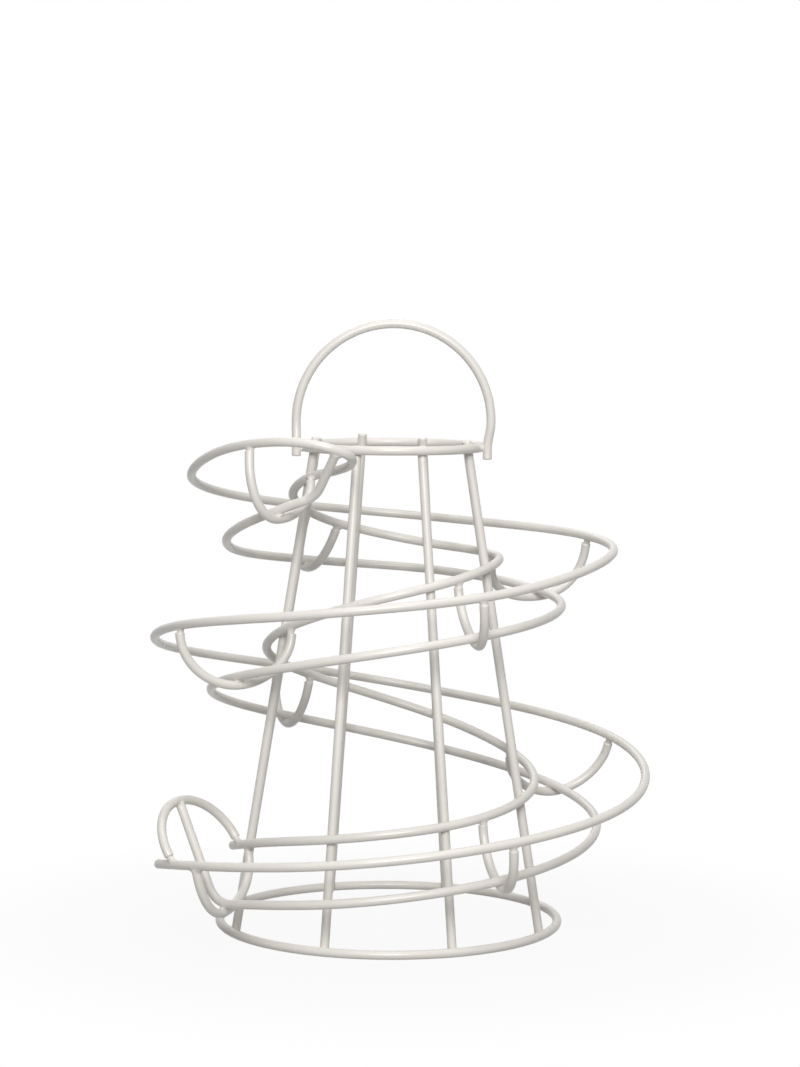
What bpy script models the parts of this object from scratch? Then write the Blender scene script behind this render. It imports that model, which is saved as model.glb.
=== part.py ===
"""Rolling egg dispenser: a conical wire rack with a spiral egg run, all of one coated steel wire.

Eight straight uprights lean in from a base ring to a top ring. Three rails wind down round them
for two turns and make the run: an inner rail against the uprights, an outer rail, and a bottom
rail that lies in nine U-shaped ribs. Eggs go in at the loop at the top and roll to the end stop.

Units are metres, +Z is up. Angles are in degrees along the run: 0 is the left side (-X), and the
angle grows clockwise as seen from above, by the back (+Y), the right (+X) and the front (-Y).
The origin is the middle of the whole part's plan, on the surface that it stands on.
"""
import bpy
import numpy as np

MM = 0.001

# The wire, with its coating, and the gap left between two wires that are welded together.
WIRE_DIAMETER = 4.7 * MM
WELD_GAP = 0.35 * MM

# The frame: radii are to the middle of the wire.
BASE_RING_RADIUS = 89.7 * MM
TOP_RING_RADIUS = 47.4 * MM
TOP_RING_HEIGHT = 253.9 * MM
# The angles of each upright's foot and head. They are welded by hand, so not quite evenly.
UPRIGHT_ANGLES = (
    (19.9, 24.1),
    (67.5, 68.5),
    (111.6, 112.9),
    (157.9, 157.4),
    (203.5, 203.3),
    (247.6, 248.5),
    (292.0, 293.3),
    (338.1, 336.4),
)
UPRIGHT_FOOT_LIFT = 0.6 * MM
# How far each upright stands above the middle of the top ring, as shares of the wire's diameter.
UPRIGHT_STUB_SHARES = (0.76, 1.03, 0.60, 0.48, 0.82, 0.45, 0.45, 1.12)

# The carrying handle: a half circle on two legs, which come in to feet beside the top ring. Its rise
# is from the middle of the top ring to its top, its feet reach below that middle, and its half
# circle stands a little to the right of the middle of its feet.
HANDLE_RISE = 66.9 * MM
HANDLE_ARCH_RADIUS = 50.7 * MM
HANDLE_FOOT_ANGLES = (339.9, 196.8)
HANDLE_SIDE_LEAN = 0.8 * MM
HANDLE_FOOT_DROPS = (4.4 * MM, 5.9 * MM)

# The run: how wide it is between the middles of its inner and outer rails.
RUN_WIDTH = 58.0 * MM
# Stations down the run: one near each rib, one between, and one past each end. Each row
# holds the angle, the heights of the outer, inner and bottom rails as shares of the top ring's
# height, the width as a share of the run's width, and how far the bottom rail lies outside the
# middle of the run, as a share of that width too.
STATION_SHARES = (
    (-72.0, 1.0316, 0.9542, 0.9328, 0.932, 0.098),
    (-45.0, 1.0165, 0.9503, 0.8755, 0.916, 0.198),
    (5.0, 0.9273, 0.8945, 0.7889, 0.924, 0.130),
    (62.0, 0.8513, 0.8215, 0.7346, 0.959, 0.108),
    (108.0, 0.8190, 0.7840, 0.7117, 0.930, 0.092),
    (155.0, 0.7999, 0.7713, 0.6853, 1.054, 0.042),
    (197.0, 0.7782, 0.7637, 0.6665, 1.017, 0.063),
    (240.0, 0.7331, 0.7356, 0.6412, 0.954, 0.122),
    (283.0, 0.7009, 0.6960, 0.6004, 1.026, 0.083),
    (326.0, 0.6567, 0.6374, 0.5431, 1.065, 0.028),
    (370.0, 0.5744, 0.5638, 0.4698, 0.998, -0.009),
    (414.0, 0.4992, 0.4904, 0.3926, 0.991, -0.021),
    (460.0, 0.4283, 0.4158, 0.3195, 0.946, 0.025),
    (513.0, 0.3616, 0.3384, 0.2471, 1.037, 0.053),
    (555.0, 0.3048, 0.2962, 0.2050, 1.002, 0.069),
    (598.0, 0.2636, 0.2624, 0.1668, 1.005, 0.070),
    (640.0, 0.2231, 0.2365, 0.1291, 1.002, 0.057),
    (679.0, 0.1868, 0.2068, 0.0976, 0.967, 0.094),
    (712.0, 0.1401, 0.1697, 0.0570, 0.825, 0.335),
)
OUTER_RAIL_END_ANGLE = 689.8
INNER_RAIL_END_ANGLE = 713.2

# The loop that joins the inner and outer rails where the eggs go in. It turns back furthest up the
# run, where it heads for the frame's axis and drops by a share of the way that it goes inwards.
LOOP_OUTER_ANGLE = -54.3
LOOP_INNER_ANGLE = -42.1
LOOP_OUTER_REACH = 74.9 * MM
LOOP_INNER_REACH = 63.9 * MM
LOOP_TURN_ANGLE = -77.2
LOOP_TURN_RADIUS = 88.6 * MM
LOOP_TURN_HEIGHT_SHARE = 0.994
LOOP_TURN_DROP = 0.35
LOOP_TURN_REACH = 35.0 * MM
LOOP_SEAM_SHARE = 0.55

# The bottom rail turns up at both ends, to the loop and to the end stop.
BOTTOM_RAIL_START_ANGLE = -63.5
BOTTOM_RAIL_END_ANGLE = 679.8
BOTTOM_BEND_RADIUS = 16.3 * MM
LOOP_MEETING_SHARE = 0.340

# Ribs: the angles of each rib's outer end, lowest point and inner end, and its squareness: 2 bends
# as an ellipse does, and more is squarer.
RIB_ROWS = (
    (-46.5, -49.5, -36.5, 1.98),
    (65.5, 57.8, 58.4, 2.29),
    (154.6, 149.9, 162.7, 2.25),
    (246.1, 241.6, 233.7, 1.89),
    (328.6, 324.2, 324.2, 1.94),
    (419.7, 413.5, 410.4, 1.87),
    (513.0, 505.5, 510.7, 1.86),
    (603.4, 599.2, 592.5, 2.04),
    (674.2, 676.8, 693.9, 2.07),
)

# The end stop: an arch across the run's lower end that leans away from it.
STOP_OUTER_ANGLE = 682.1
STOP_INNER_ANGLE = 701.5
STOP_HEIGHT = 31.5 * MM
STOP_LEAN_ANGLE = 32.6
STOP_SQUARENESS = 2.02

# How finely the wires are divided. Ribs and the end stop are first drawn FINE times as finely, and
# then redivided into even steps.
RAIL_STEP_ANGLE = 6.0
RING_STEPS = 48
LOOP_STEPS = 18
RIB_STEPS = 18
ARCH_STEPS = 28
LEG_STEPS = 4
STOP_STEPS = 20
FINE = 8
BEND_STEPS = 6
WIRE_SIDES = 8

COATING_COLOUR = (0.787, 0.753, 0.701, 1.0)
COATING_ROUGHNESS = 0.32

# Half of a wire, half of the angle of one of its flats, the base ring's middle when it lies on a
# flat, and the distance between the middles of two wires that are welded side by side.
WIRE_RADIUS = WIRE_DIAMETER / 2
HALF_FLAT = np.pi / WIRE_SIDES
BASE_RING_HEIGHT = WIRE_RADIUS * np.cos(HALF_FLAT)
BESIDE = WIRE_DIAMETER + WELD_GAP
UP = np.array([0.0, 0.0, 1.0])


def clear_scene():
    """Remove every object that the file starts with."""
    for thing in list(bpy.data.objects):
        bpy.data.objects.remove(thing, do_unlink=True)


def unit(vector):
    """The same direction at a length of one."""
    return vector / np.linalg.norm(vector)


def around(angle, radius, height):
    """Points at the given angle, radius and height round the frame's axis."""
    turn = np.radians(angle)
    angle, radius, height = np.broadcast_arrays(turn, radius, height)
    return np.stack([-radius * np.cos(angle), radius * np.sin(angle), height], axis=-1)


def hermite(start, start_pull, end, end_pull, t):
    """A cubic from start (t = 0) to end (t = 1) that leaves and arrives along its two pulls."""
    from_start = (1 + 2 * t) * (1 - t) ** 2 * start + t * (1 - t) ** 2 * start_pull
    return from_start + t ** 2 * (3 - 2 * t) * end - t ** 2 * (1 - t) * end_pull


def smooth(places, values, at):
    """A smooth curve through values at places: cubic pieces that share their slopes."""
    slopes = np.gradient(values, places)
    left = np.clip(np.searchsorted(places, at) - 1, 0, len(places) - 2)
    right = left + 1
    span = places[right] - places[left]
    t = (at - places[left]) / span
    return hermite(values[left], span * slopes[left], values[right], span * slopes[right], t)


def station(column, angle):
    """One column of the stations at any angle of the run."""
    table = np.array(STATION_SHARES)
    return smooth(table[:, 0], table[:, column], np.asarray(angle, dtype=float))


def upright_radius(height):
    """How far the middle of an upright is from the axis at a height."""
    foot = BASE_RING_RADIUS - BESIDE
    head = TOP_RING_RADIUS - BESIDE
    share = (height - BASE_RING_HEIGHT) / (TOP_RING_HEIGHT - BASE_RING_HEIGHT)
    return foot + (head - foot) * share


def inner_radius(angle):
    """The inner rail lies against the outside of the uprights, and its straight pieces clear them."""
    corners = 1 / np.cos(np.radians(RAIL_STEP_ANGLE / 2))
    return (upright_radius(TOP_RING_HEIGHT * station(2, angle)) + BESIDE) * corners


def outer_radius(angle):
    """The outer rail is the run's width further out."""
    return inner_radius(angle) + RUN_WIDTH * station(4, angle)


def bottom_radius(angle):
    """The bottom rail lies near the middle of the run."""
    middle = (inner_radius(angle) + outer_radius(angle)) / 2
    return middle + RUN_WIDTH * station(5, angle)


def outer_line(angle):
    """The middle of the outer rail's wire."""
    return around(angle, outer_radius(angle), TOP_RING_HEIGHT * station(1, angle))


def inner_line(angle):
    """The middle of the inner rail's wire."""
    return around(angle, inner_radius(angle), TOP_RING_HEIGHT * station(2, angle))


def bottom_line(angle):
    """The middle of the bottom rail's wire."""
    return around(angle, bottom_radius(angle), TOP_RING_HEIGHT * station(3, angle))


def way_of(line, angle):
    """The direction in which a rail's line goes on at an angle."""
    return unit(line(angle + RAIL_STEP_ANGLE / 2) - line(angle - RAIL_STEP_ANGLE / 2))


def butt_end(target, arrival, wire_way):
    """Where a square-cut end that arrives at a wire stops, so that its whole edge clears the wire."""
    skew = abs(arrival @ wire_way)
    setback = (WIRE_RADIUS + WELD_GAP + WIRE_RADIUS * skew) / np.sqrt(1 - skew ** 2)
    return target - arrival * setback


def angles_between(first, last):
    """Even angles from first to last, close to the rails' step."""
    return np.linspace(first, last, int(abs(last - first) / RAIL_STEP_ANGLE) + 1)


def loop_line(t):
    """The entry loop, from the outer rail (t = 0) by its turn (t = 1/2) to the inner rail (t = 1)."""
    start, end = outer_line(LOOP_OUTER_ANGLE), inner_line(LOOP_INNER_ANGLE)
    start_pull = -way_of(outer_line, LOOP_OUTER_ANGLE) * LOOP_OUTER_REACH
    end_pull = way_of(inner_line, LOOP_INNER_ANGLE) * LOOP_INNER_REACH
    turn = around(LOOP_TURN_ANGLE, LOOP_TURN_RADIUS, TOP_RING_HEIGHT * LOOP_TURN_HEIGHT_SHARE)
    turn_pull = unit(around(LOOP_TURN_ANGLE, -1, -LOOP_TURN_DROP)) * LOOP_TURN_REACH
    t = np.asarray(t)[..., None]
    before = hermite(start, start_pull, turn, turn_pull, 2 * t)
    after = hermite(turn, turn_pull, end, end_pull, 2 * t - 1)
    return np.where(t < 1 / 2, before, after)


def loop_way(t):
    """The direction of the entry loop's line."""
    step = 1 / LOOP_STEPS
    return unit(loop_line(t + step) - loop_line(t - step))


def bend(before, corner, after, radius):
    """Points round a corner between two straight stretches, on an arc of the given radius."""
    back = unit(before - corner)
    on = unit(after - corner)
    half = np.arccos(np.clip(back @ on, -1, 1)) / 2
    reach = radius / np.tan(half)
    centre = corner + unit(back + on) * radius / np.sin(half)
    first, last = corner + back * reach - centre, corner + on * reach - centre
    sweep = np.pi - 2 * half
    t = np.linspace(0, 1, BEND_STEPS + 1)[:, None]
    return centre + (np.sin((1 - t) * sweep) * first + np.sin(t * sweep) * last) / np.sin(sweep)


def arch_line(first, top, last, top_way, squareness, steps):
    """An arch or a hanging U, square to the line between its feet, that passes its top along a way."""
    chord = unit(last - first)
    t = np.linspace(0, np.pi / 2, steps // 2 + 1)[:, None]
    across = 1 - np.cos(t) ** (2 / squareness)
    along = np.sin(t) ** (2 / squareness)
    halves = []
    for foot in (first, last):
        side = top_way * ((top - foot) @ chord) / (top_way @ chord)
        halves.append(foot + across * side + along * (top - foot - side))
    return np.concatenate([halves[0], halves[1][-2::-1]])


def even_points(points, steps):
    """The same line, redivided into even steps."""
    ends = np.linalg.norm(np.diff(points, axis=0), axis=1)
    length = np.concatenate([[0], np.cumsum(ends)])
    at = np.linspace(0, length[-1], steps + 1)
    return np.stack([np.interp(at, length, points[:, k]) for k in range(3)], axis=1)


def ring_points(radius, height, steps=RING_STEPS):
    """A closed level ring."""
    return around(np.arange(steps) * 360.0 / steps, radius, height)


def upright_points(index):
    """One straight upright, from just above the ground to its stub above the top ring."""
    foot_angle, head_angle = UPRIGHT_ANGLES[index]
    foot = around(foot_angle, upright_radius(BASE_RING_HEIGHT), BASE_RING_HEIGHT)
    head = around(head_angle, upright_radius(TOP_RING_HEIGHT), TOP_RING_HEIGHT)
    top = TOP_RING_HEIGHT + WIRE_DIAMETER * UPRIGHT_STUB_SHARES[index]
    shares = [(height - foot[2]) / (head[2] - foot[2]) for height in (UPRIGHT_FOOT_LIFT, top)]
    return foot + np.outer(shares, head - foot)


def handle_points():
    """The handle's half circle, and its legs, which come in smoothly to their feet."""
    feet = [around(angle, TOP_RING_RADIUS + BESIDE, TOP_RING_HEIGHT) for angle in HANDLE_FOOT_ANGLES]
    leg_height = HANDLE_RISE - WIRE_RADIUS - HANDLE_ARCH_RADIUS
    centre = (feet[0] + feet[1]) / 2 + np.array([HANDLE_SIDE_LEAN, 0.0, leg_height])
    sweep = np.linspace(np.pi, 0.0, ARCH_STEPS + 1)
    arch = centre + HANDLE_ARCH_RADIUS * np.stack([np.cos(sweep), 0 * sweep, np.sin(sweep)], axis=1)
    t = np.linspace(0, 1, LEG_STEPS + 1)[:-1, None]
    pull = UP * leg_height
    legs = [hermite(foot, pull, end, pull, t) for foot, end in zip(feet, (arch[0], arch[-1]))]
    ends = [foot - UP * drop for foot, drop in zip(feet, HANDLE_FOOT_DROPS)]
    return np.concatenate([ends[:1], legs[0], arch, legs[1][::-1], ends[1:]])


def outer_rail_points():
    """The outer rail, from the seam in the entry loop to its free end."""
    loop = loop_line(np.linspace(LOOP_SEAM_SHARE, 0, LOOP_STEPS)[:-1])
    return np.concatenate([loop, outer_line(angles_between(LOOP_OUTER_ANGLE, OUTER_RAIL_END_ANGLE))])


def inner_rail_points():
    """The inner rail, from the seam in the entry loop to its free end."""
    gap = WELD_GAP / np.linalg.norm(loop_line(1.0) - loop_line(0.0))
    loop = loop_line(np.linspace(LOOP_SEAM_SHARE + gap, 1, LOOP_STEPS // 2)[:-1])
    return np.concatenate([loop, inner_line(angles_between(LOOP_INNER_ANGLE, INNER_RAIL_END_ANGLE))])


def stop_lean():
    """The direction in which the end stop stands: up, and away down the run."""
    across = unit(outer_line(STOP_OUTER_ANGLE) - inner_line(STOP_INNER_ANGLE))
    lean = np.radians(STOP_LEAN_ANGLE)
    return np.cos(lean) * UP + np.sin(lean) * unit(np.cross(across, UP))


def stop_feet():
    """The end stop's outer and inner feet, just above the rails."""
    feet = []
    for line, angle in ((outer_line, STOP_OUTER_ANGLE), (inner_line, STOP_INNER_ANGLE)):
        feet.append(butt_end(line(angle), -stop_lean(), way_of(line, angle)))
    return feet


def stop_top():
    """The top of the end stop."""
    outer, inner = outer_line(STOP_OUTER_ANGLE), inner_line(STOP_INNER_ANGLE)
    return (outer + inner) / 2 + STOP_HEIGHT * stop_lean()


def stop_points():
    """The end stop's arch."""
    outer, inner = stop_feet()
    chord = unit(inner - outer)
    arch = arch_line(outer, stop_top(), inner, chord, STOP_SQUARENESS, FINE * STOP_STEPS)
    return even_points(arch, STOP_STEPS)


def bottom_rail_points():
    """The bottom rail, turned up at the loop and at the end stop."""
    run = bottom_line(angles_between(BOTTOM_RAIL_START_ANGLE, BOTTOM_RAIL_END_ANGLE))
    meeting = loop_line(LOOP_MEETING_SHARE)
    stop_way = outer_line(STOP_OUTER_ANGLE) - inner_line(STOP_INNER_ANGLE)
    first_bend = bend(meeting, run[0], run[1], BOTTOM_BEND_RADIUS)
    last_bend = bend(run[-2], run[-1], stop_top(), BOTTOM_BEND_RADIUS)
    top_start = butt_end(meeting, unit(meeting - first_bend[0]), loop_way(LOOP_MEETING_SHARE))
    top_end = butt_end(stop_top(), unit(stop_top() - last_bend[-1]), unit(stop_way))
    keep = clear_of_bends(run, first_bend[-1], last_bend[0])
    return np.concatenate([[top_start], first_bend, keep, last_bend, [top_end]])


def clear_of_bends(run, first, last):
    """The run's points that lie between the two bends."""
    step = np.linalg.norm(run[1] - run[0])
    after = np.linalg.norm(run - run[0], axis=1) > np.linalg.norm(first - run[0]) + step / 4
    before = np.linalg.norm(run - run[-1], axis=1) > np.linalg.norm(last - run[-1]) + step / 4
    return run[after & before]


def rib_points(outer_angle, bottom_angle, inner_angle, squareness):
    """One rib: a U that hangs from both rails and passes under the bottom rail."""
    slope = way_of(bottom_line, bottom_angle) @ UP
    bottom = bottom_line(bottom_angle) - UP * BESIDE / np.sqrt(1 - slope ** 2)
    outer, inner = outer_line(outer_angle), inner_line(inner_angle)
    chord = unit(inner - outer)
    hang = bottom - outer
    arrival = -unit(hang - chord * (hang @ chord))
    first = butt_end(outer, arrival, way_of(outer_line, outer_angle))
    last = butt_end(inner, arrival, way_of(inner_line, inner_angle))
    level_way = unit(chord - UP * (chord @ UP))
    arch = arch_line(first, bottom, last, level_way, squareness, FINE * RIB_STEPS)
    return even_points(arch, RIB_STEPS)


def all_wires():
    """Every wire's name, the points of its middle line, and whether it closes on itself."""
    wires = [("base_ring", ring_points(BASE_RING_RADIUS, BASE_RING_HEIGHT), True)]
    wires.append(("top_ring", ring_points(TOP_RING_RADIUS, TOP_RING_HEIGHT), True))
    for index in range(len(UPRIGHT_ANGLES)):
        wires.append((f"upright_{index + 1}", upright_points(index), False))
    wires.append(("carry_handle", handle_points(), False))
    wires.append(("outer_rail", outer_rail_points(), False))
    wires.append(("inner_rail", inner_rail_points(), False))
    wires.append(("bottom_rail", bottom_rail_points(), False))
    for index, row in enumerate(RIB_ROWS):
        wires.append((f"rib_{index + 1}", rib_points(*row), False))
    wires.append(("end_stop", stop_points(), False))
    return wires


def plan_middle(wires):
    """The middle of the whole part's plan, from the wires' outer sides."""
    points = np.concatenate([points for _, points, _ in wires])
    middle = (points.min(axis=0) + points.max(axis=0)) / 2
    return np.array([middle[0], middle[1], 0.0])


def coating(name):
    """The off-white powder coating of one wire."""
    material = bpy.data.materials.new(name)
    material.use_nodes = True
    shader = material.node_tree.nodes["Principled BSDF"]
    shader.inputs["Base Color"].default_value = COATING_COLOUR
    shader.inputs["Roughness"].default_value = COATING_ROUGHNESS
    shader.inputs["Metallic"].default_value = 0.0
    return material


def add_wire(name, points, closed):
    """A round wire along a line of points: square-cut ends, and a ring's flats facing down."""
    curve = bpy.data.curves.new(name, "CURVE")
    curve.dimensions = "3D"
    curve.twist_mode = "Z_UP" if closed else "MINIMUM"
    curve.bevel_depth = WIRE_RADIUS
    curve.bevel_resolution = WIRE_SIDES // 2 - 2
    curve.use_fill_caps = not closed
    spline = curve.splines.new("POLY")
    spline.points.add(len(points) - 1)
    spline.use_cyclic_u = closed
    spline.use_smooth = True
    for point, place in zip(spline.points, points):
        point.co = (*place, 1.0)
        point.tilt = HALF_FLAT
    curve.materials.append(coating(f"coated_wire_{name}"))
    thing = bpy.data.objects.new(name, curve)
    bpy.context.scene.collection.objects.link(thing)
    return thing


def main():
    """Make every wire, with the middle of the whole plan at the origin."""
    clear_scene()
    wires = all_wires()
    middle = plan_middle(wires)
    for name, points, closed in wires:
        add_wire(name, points - middle, closed)


main()
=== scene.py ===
"""Rolling egg dispenser, dressed for its picture: a conical rack of coated wire with a spiral run.

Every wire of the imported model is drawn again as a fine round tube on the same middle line, its
cropped ends are rounded off, and each joint gets the small fillet that the weld and the coating
leave there.

Units are metres, +Z is up. Angles are in degrees along the run: 0 is the left side (-X), and the
angle grows clockwise as seen from above, by the back (+Y), the right (+X) and the front (-Y).
"""
import logging
from collections.abc import Callable
from dataclasses import dataclass, field
from enum import Enum, IntEnum

import bpy
import numpy as np
from mathutils import Matrix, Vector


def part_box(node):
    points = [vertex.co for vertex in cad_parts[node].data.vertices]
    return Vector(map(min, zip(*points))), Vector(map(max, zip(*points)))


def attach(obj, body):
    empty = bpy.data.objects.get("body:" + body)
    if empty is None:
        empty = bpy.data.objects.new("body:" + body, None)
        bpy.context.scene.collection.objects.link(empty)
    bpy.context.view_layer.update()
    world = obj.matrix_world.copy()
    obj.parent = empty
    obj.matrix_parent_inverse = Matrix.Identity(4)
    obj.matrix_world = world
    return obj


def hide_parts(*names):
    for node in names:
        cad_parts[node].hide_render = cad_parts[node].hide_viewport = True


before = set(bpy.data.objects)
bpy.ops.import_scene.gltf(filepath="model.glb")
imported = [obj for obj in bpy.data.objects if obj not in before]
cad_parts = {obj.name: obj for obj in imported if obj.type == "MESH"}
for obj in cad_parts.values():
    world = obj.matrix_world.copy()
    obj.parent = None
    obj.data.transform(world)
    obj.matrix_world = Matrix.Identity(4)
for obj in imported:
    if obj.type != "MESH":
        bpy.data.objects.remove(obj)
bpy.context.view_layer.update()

Array = np.ndarray
Scalars = np.ndarray | float
Colour = tuple[float, float, float, float]

MM = 0.001
UP = np.array([0.0, 0.0, 1.0])
WHITE = (1.0, 1.0, 1.0, 1.0)
log = logging.getLogger("egg_dispenser")


def unit(vectors: Array) -> Array:
    """The same directions at a length of one."""
    return vectors / np.linalg.norm(vectors, axis=-1, keepdims=True)


def hermite(start: Array, start_pull: Array, end: Array, end_pull: Array, t: Array) -> Array:
    """A cubic that leaves start along one pull and arrives at end along the other, at shares t."""
    # (1 + 2t)(1 - t)^2 start + t(1 - t)^2 start_pull + t^2(3 - 2t) end - t^2(1 - t) end_pull.
    leave = (1 + 2 * t) * (1 - t) ** 2 * start + t * (1 - t) ** 2 * start_pull
    return leave + t ** 2 * (3 - 2 * t) * end - t ** 2 * (1 - t) * end_pull


# Surfaces.


@dataclass
class Surface:
    """A closed surface on a grid of rows and columns, whose columns always wrap round.

    Its rows wrap too on a ring. Otherwise the first and last rows close on a pole each.
    """

    grid: Array
    ring: bool = False
    poles: tuple[Array, ...] = ()

    def vertices(self) -> Array:
        """The grid's points row by row, and then the poles."""
        return np.concatenate([self.grid.reshape(-1, 3), *[pole[None] for pole in self.poles]])

    def faces(self) -> tuple[Array, Array]:
        """The cells and the triangles round the poles, turned so that they point outwards.

        The cell at row i and column j has the corners (i, j), (i + 1, j), (i + 1, j + 1) and
        (i, j + 1). All faces are reversed where the volume that they enclose, the sum of
        a . (b x c) over the triangles, comes out negative.

        Returns:
            The corners of the cells, four to a row, and of the triangles.
        """
        rows, columns = self.grid.shape[:2]
        here = np.arange(rows * columns).reshape(rows, columns)
        beside, below = np.roll(here, -1, axis=1), np.roll(here, -1, axis=0)
        cells = np.stack([here, below, np.roll(below, -1, axis=1), beside], axis=2)
        quads = cells[:rows if self.ring else rows - 1].reshape(-1, 4)
        pole = np.full(columns, rows * columns)
        fans = np.concatenate([np.stack([pole, here[0], beside[0]], axis=1),
                               np.stack([pole + 1, beside[-1], here[-1]], axis=1)])
        fans = fans[:len(self.poles) * columns]
        points = self.vertices()
        triangles = np.concatenate([quads[:, :3], quads[:, [0, 2, 3]], fans])
        a, b, c = (points[triangles[:, k]] for k in range(3))
        turn = -1 if np.sum(a * np.cross(b, c)) < 0 else 1
        return quads[:, ::turn], fans[:, ::turn]


@dataclass
class WireLine:
    """The middle line of a wire.

    Attributes:
        points: Its points in order.
        ring: Whether it closes on itself.
        flat: A direction that the line is nowhere parallel to, which keeps the tube from twisting.
        rims: How round the rims of its two ends are, as shares of the stock's.
    """

    points: Array
    ring: bool = False
    flat: Array = field(default_factory=UP.copy)
    rims: tuple[float, float] = (1.0, 1.0)

    def lengths(self) -> Array:
        """How far along the line each of its points is."""
        steps = np.linalg.norm(np.diff(self.points, axis=0), axis=1)
        return np.concatenate([[0.0], np.cumsum(steps)])

    def ways(self) -> Array:
        """The line's direction at each point: along the chord between its neighbours."""
        round_ring = np.roll(self.points, -1, axis=0) - np.roll(self.points, 1, axis=0)
        return unit(round_ring if self.ring else np.gradient(self.points, self.lengths(), axis=0))

    def redivided(self, step: float) -> "WireLine":
        """The same open line in even steps.

        Args:
            step: About how long the steps are.

        Returns:
            A new line, with its points on the straight stretches between the old ones.
        """
        lengths = self.lengths()
        at = np.linspace(0.0, lengths[-1], max(2, int(lengths[-1] / step) + 1))
        points = np.stack([np.interp(at, lengths, self.points[:, k]) for k in range(3)], axis=1)
        return WireLine(points, False, self.flat, self.rims)


@dataclass(frozen=True)
class WireStock:
    """The coated steel wire that everything is bent from.

    Attributes:
        diameter: Across the wire and its coating.
        press: How far two crossing wires are pressed into each other at their weld.
        edge: The radius on the rim of a cropped end.
        edge_room: How many rims' lengths at an end have no rows but the rim's own.
        swell: How much thicker the coating makes the last of an end, as a share of the radius.
        swell_length: How far that reaches along the wire.
        sides: Columns round the section.
        edge_steps: Rows over the rim of a cropped end.
        step: The distance between two rows along a wire.
    """

    diameter: float = 4.7 * MM
    press: float = 0.75 * MM
    edge: float = 0.8 * MM
    edge_room: float = 1.2
    swell: float = 0.035
    swell_length: float = 1.6 * MM
    sides: int = 32
    edge_steps: int = 5
    step: float = 1.5 * MM

    @property
    def radius(self) -> float:
        """Half of the diameter."""
        return self.diameter / 2

    @property
    def beside(self) -> float:
        """From the middle of one wire to the middle of one that is welded across it."""
        return self.diameter - self.press

    def setback(self, stand_way: Array, rail_way: Array, stand_off: float) -> float:
        """From a wire's middle to an end on its side: (r + off + r skew) / sqrt(1 - skew^2)."""
        # Here off is the stand-off, and skew the cosine between the two directions.
        skew = abs(float(stand_way @ rail_way))
        return (self.radius * (1 + skew) + stand_off) / np.sqrt(1 - skew ** 2)

    def tube(self, line: WireLine) -> Surface:
        """A round tube along a line, with rounded rims and closed ends.

        The surface is c(s) + q(s) (cos a side(s) + sin a lift(s)): c is the middle line, side is
        square to the line and to its flat direction, lift is square to both, and q is the radius,
        which swells a little towards each open end and shrinks on a quarter circle over its rim.

        Args:
            line: The wire's middle line.

        Returns:
            The closed tube.
        """
        ways = line.ways()
        side = unit(np.cross(ways, line.flat))
        lift = np.cross(side, ways)
        centres, radii = line.points, np.full(len(line.points), self.radius)
        if not line.ring:
            pick, shift, radii = self.end_rows(line)
            centres = centres[pick] + ways[pick] * shift[:, None]
            side, lift = side[pick], lift[pick]
        angle = np.linspace(0.0, 2 * np.pi, self.sides, endpoint=False)[None, :, None]
        across = np.cos(angle) * side[:, None] + np.sin(angle) * lift[:, None]
        grid = centres[:, None] + radii[:, None, None] * across
        return Surface(grid, line.ring, () if line.ring else (centres[0], centres[-1]))

    def end_rows(self, line: WireLine) -> tuple[Array, Array, Array]:
        """Rows of an open tube: extra ones go over the rim at each end.

        Over a rim of radius e the row at angle a, from 0 on the flat to 90 degrees on the side,
        lies e (1 - cos a) in from the end and has lost e (1 - sin a) of the radius.

        Args:
            line: The wire's middle line.

        Returns:
            For each row the point that it belongs to, its shift along the line, and its radius.
        """
        reach = line.lengths()
        from_end = np.minimum(reach, reach[-1] - reach)
        swollen = self.radius * (1 + self.swell * np.exp(-(from_end / self.swell_length) ** 2))
        angle = np.linspace(0.0, np.pi / 2, self.edge_steps + 1)
        first, last = (self.edge * share for share in line.rims)
        inner = np.flatnonzero((reach > self.edge_room * first)
                               & (reach < reach[-1] - self.edge_room * last))
        back, end = angle[::-1], len(reach) - 1
        pick = np.concatenate([np.zeros(len(angle), int), inner, np.full(len(angle), end)])
        shift = np.concatenate([first * (1 - np.cos(angle)), np.zeros(len(inner)),
                                -last * (1 - np.cos(back))])
        radii = np.concatenate([swollen[0] - first * (1 - np.sin(angle)), swollen[inner],
                                swollen[end] - last * (1 - np.sin(back))])
        return pick, shift, radii


# Welds.


@dataclass(frozen=True)
class WeldSize:
    """How big the fillets of one kind of weld are.

    Attributes:
        reach: How far the fillet runs out along the wires.
        wrap: How far it goes round a wire, in degrees to one side.
        waist: The neck's half width.
        waist_share: How much of that a crossing adds to its reach.
        drift: How far off centre the neck is.
        lump: How uneven the fillet is, as a share.
        stand_off: From the side of a wire to the end that stands on it, below 0 where it is sunk.
        rise: How far up the standing wire the fillet starts.
        pulls: How hard it pulls out of that wire and onto the other, as shares of its length.
        end_sink, cross_sink: Where its rim lies, as a share of the wire's radius.
        lowest: No fillet reaches below this height over the table.
        columns: Columns round the weld.
        rows: Rows from one wire to the other.
    """

    reach: float = 1.7 * MM
    wrap: float = 58.0
    waist: float = 1.75 * MM
    waist_share: float = 0.5
    drift: float = 0.4 * MM
    lump: float = 0.16
    stand_off: float = 1.1 * MM
    rise: float = 1.6 * MM
    pulls: tuple[float, float] = (0.8, 0.9)
    end_sink: float = 0.995
    cross_sink: float = 0.992
    lowest: float = 0.2 * MM
    columns: int = 40
    rows: int = 10


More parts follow.
